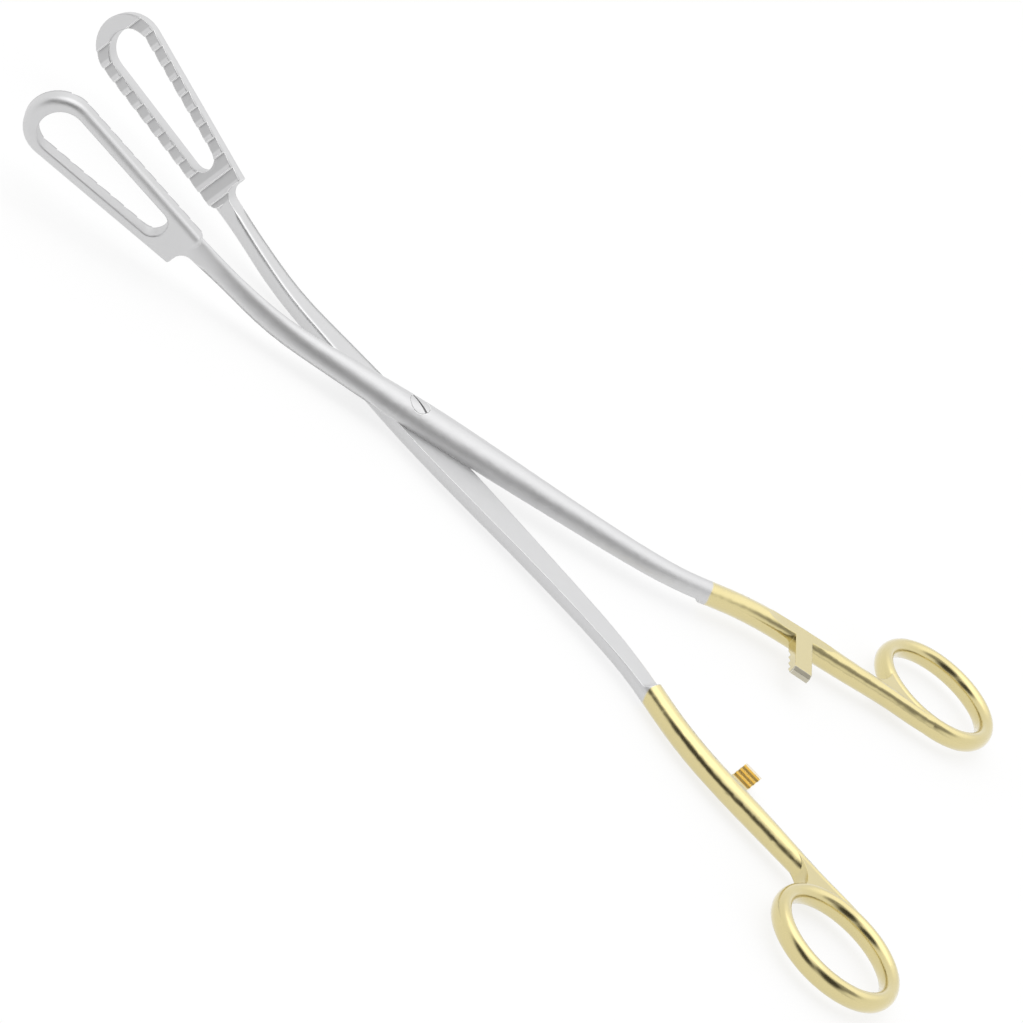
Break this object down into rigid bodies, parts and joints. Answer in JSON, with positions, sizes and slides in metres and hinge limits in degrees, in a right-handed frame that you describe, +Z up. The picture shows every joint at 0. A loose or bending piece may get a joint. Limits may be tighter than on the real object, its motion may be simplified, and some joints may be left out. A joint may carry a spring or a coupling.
{
  "type": "ovum forceps",
  "caption": "Long curved ring-handled forceps with fenestrated serrated loop jaws, a half-lap screw joint and a ratchet.",
  "frame": {"origin": "middle of the bounding box of the open forceps, at the level of the table it lies on", "axes": "+X along the instrument from the jaws to the finger rings, +Y the opening direction on the upper arm's ring side, +Z up, along the hinge axis and towards the side the jaws curve to"},
  "size_m": [0.2648, 0.1552, 0.0259],
  "materials": {
    "arm_steel": "satin",
    "screw_steel": "satin"
  },
  "bodies": {
    "lower": {"lower_arm": "arm_steel", "pivot_screw": "screw_steel"},
    "upper": {"upper_arm": "arm_steel"}
  },
  "joints": [
    {"name": "arm_pivot", "type": "hinge", "parent": "lower", "child": "upper", "pos_m": [-0.02463, 0, 0.0046], "axis": [0, 0, 1], "range_deg": [-26.4, 12]}
  ]
}
